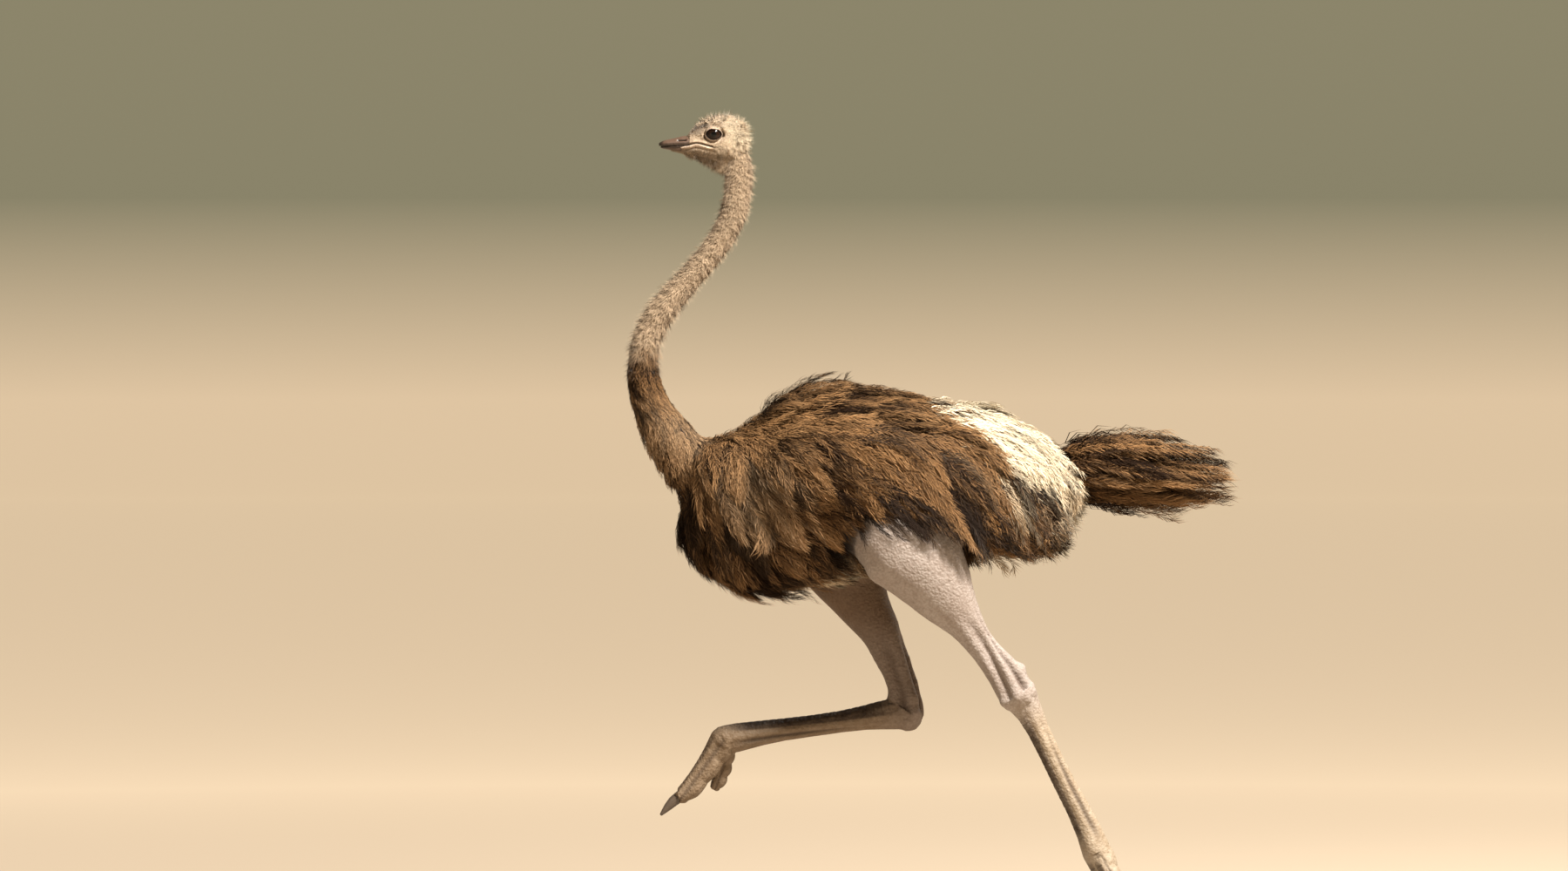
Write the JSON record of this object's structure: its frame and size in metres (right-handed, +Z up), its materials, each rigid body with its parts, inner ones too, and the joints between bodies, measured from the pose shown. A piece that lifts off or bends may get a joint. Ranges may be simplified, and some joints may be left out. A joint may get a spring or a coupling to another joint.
{
  "type": "ostrich",
  "caption": "Life-size hen ostrich at a run, one leg stretched back to the ground and one folded forwards, on a flat base.",
  "frame": {"origin": "middle of the underside of the stand's base plate", "axes": "+Z up; the bird runs towards -X, and its left side is at -Y"},
  "size_m": [1.4081, 0.484, 1.9053],
  "materials": {
    "feather": "matt, loose brown body feathers",
    "plume": "soft wing plumes, brown streaked with grey, and cream over the rump",
    "tail": "dark brown drooping plumes with paler tips",
    "down": "short grey-beige bristly down",
    "skin": "bare pinkish-grey skin with fine pimples",
    "scale": "grey-cream horny scales, darker along the front",
    "horn": "satin grey-brown horn with a dark tip",
    "claw": "dark satin horn",
    "eye": "glossy, nearly black brown",
    "stand": "plain matt off-white display plate"
  },
  "bodies": {
    "root": {"stand_base": "stand", "trunk": "feather", "head": "down", "bill_upper": "horn", "bill_lower": "horn", "eye_left": "eye", "eye_right": "eye", "ear_left": "skin", "ear_right": "skin", "neck_upper": "down", "neck_middle": "down", "neck_lower": "feather", "thigh_left": "skin", "thigh_right": "skin", "shank_left": "skin", "shank_right": "skin", "tarsus_left": "scale", "tarsus_right": "scale", "toe_main_left": "scale", "toe_main_right": "scale", "toe_side_left": "scale", "toe_side_right": "scale", "claw_main_left": "claw", "claw_main_right": "claw", "wing_left": "plume", "wing_right": "plume", "tail": "tail"}
  },
  "joints": []
}
